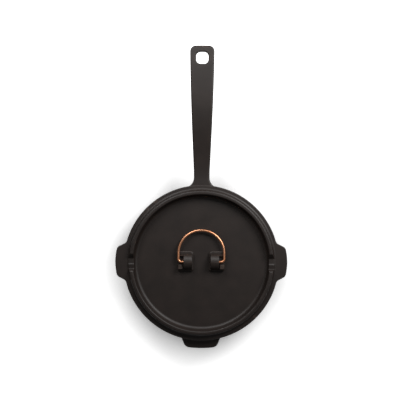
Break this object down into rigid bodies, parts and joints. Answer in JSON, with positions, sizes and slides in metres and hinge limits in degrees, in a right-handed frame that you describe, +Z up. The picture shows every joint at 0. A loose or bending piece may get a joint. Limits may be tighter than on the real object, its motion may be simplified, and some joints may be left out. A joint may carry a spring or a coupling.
{
  "type": "lidded skillet",
  "caption": "Small lidded cast iron skillet with a long handle, helper grip and pour spouts. The flanged lid has a raised ring, a sunken well and a wire bail that swings up to lift it.",
  "frame": {"origin": "middle of the pan's flat base, on the surface it stands on", "axes": "+Z up, +Y from the middle of the bowl along the long handle, +X towards one of the pour spouts"},
  "size_m": [0.1718, 0.3028, 0.0559],
  "materials": {
    "pan_iron": "oven-seasoned sand casting, satin",
    "lid_iron": "oven-seasoned sand casting, satin",
    "bail_copper": "bright copper plating on steel wire"
  },
  "bodies": {
    "pan": {"skillet_pan": "pan_iron"},
    "lid": {"skillet_lid": "lid_iron"},
    "bail": {"lid_bail": "bail_copper"}
  },
  "joints": [
    {"name": "lid_lift", "type": "slide", "parent": "pan", "child": "lid", "axis": [0, 0, 1], "range_m": [0, 0.08]},
    {"name": "bail_swing", "type": "hinge", "parent": "lid", "child": "bail", "pos_m": [0, 0.001, 0.0517], "axis": [1, 0, 0], "range_deg": [0, 130]}
  ]
}
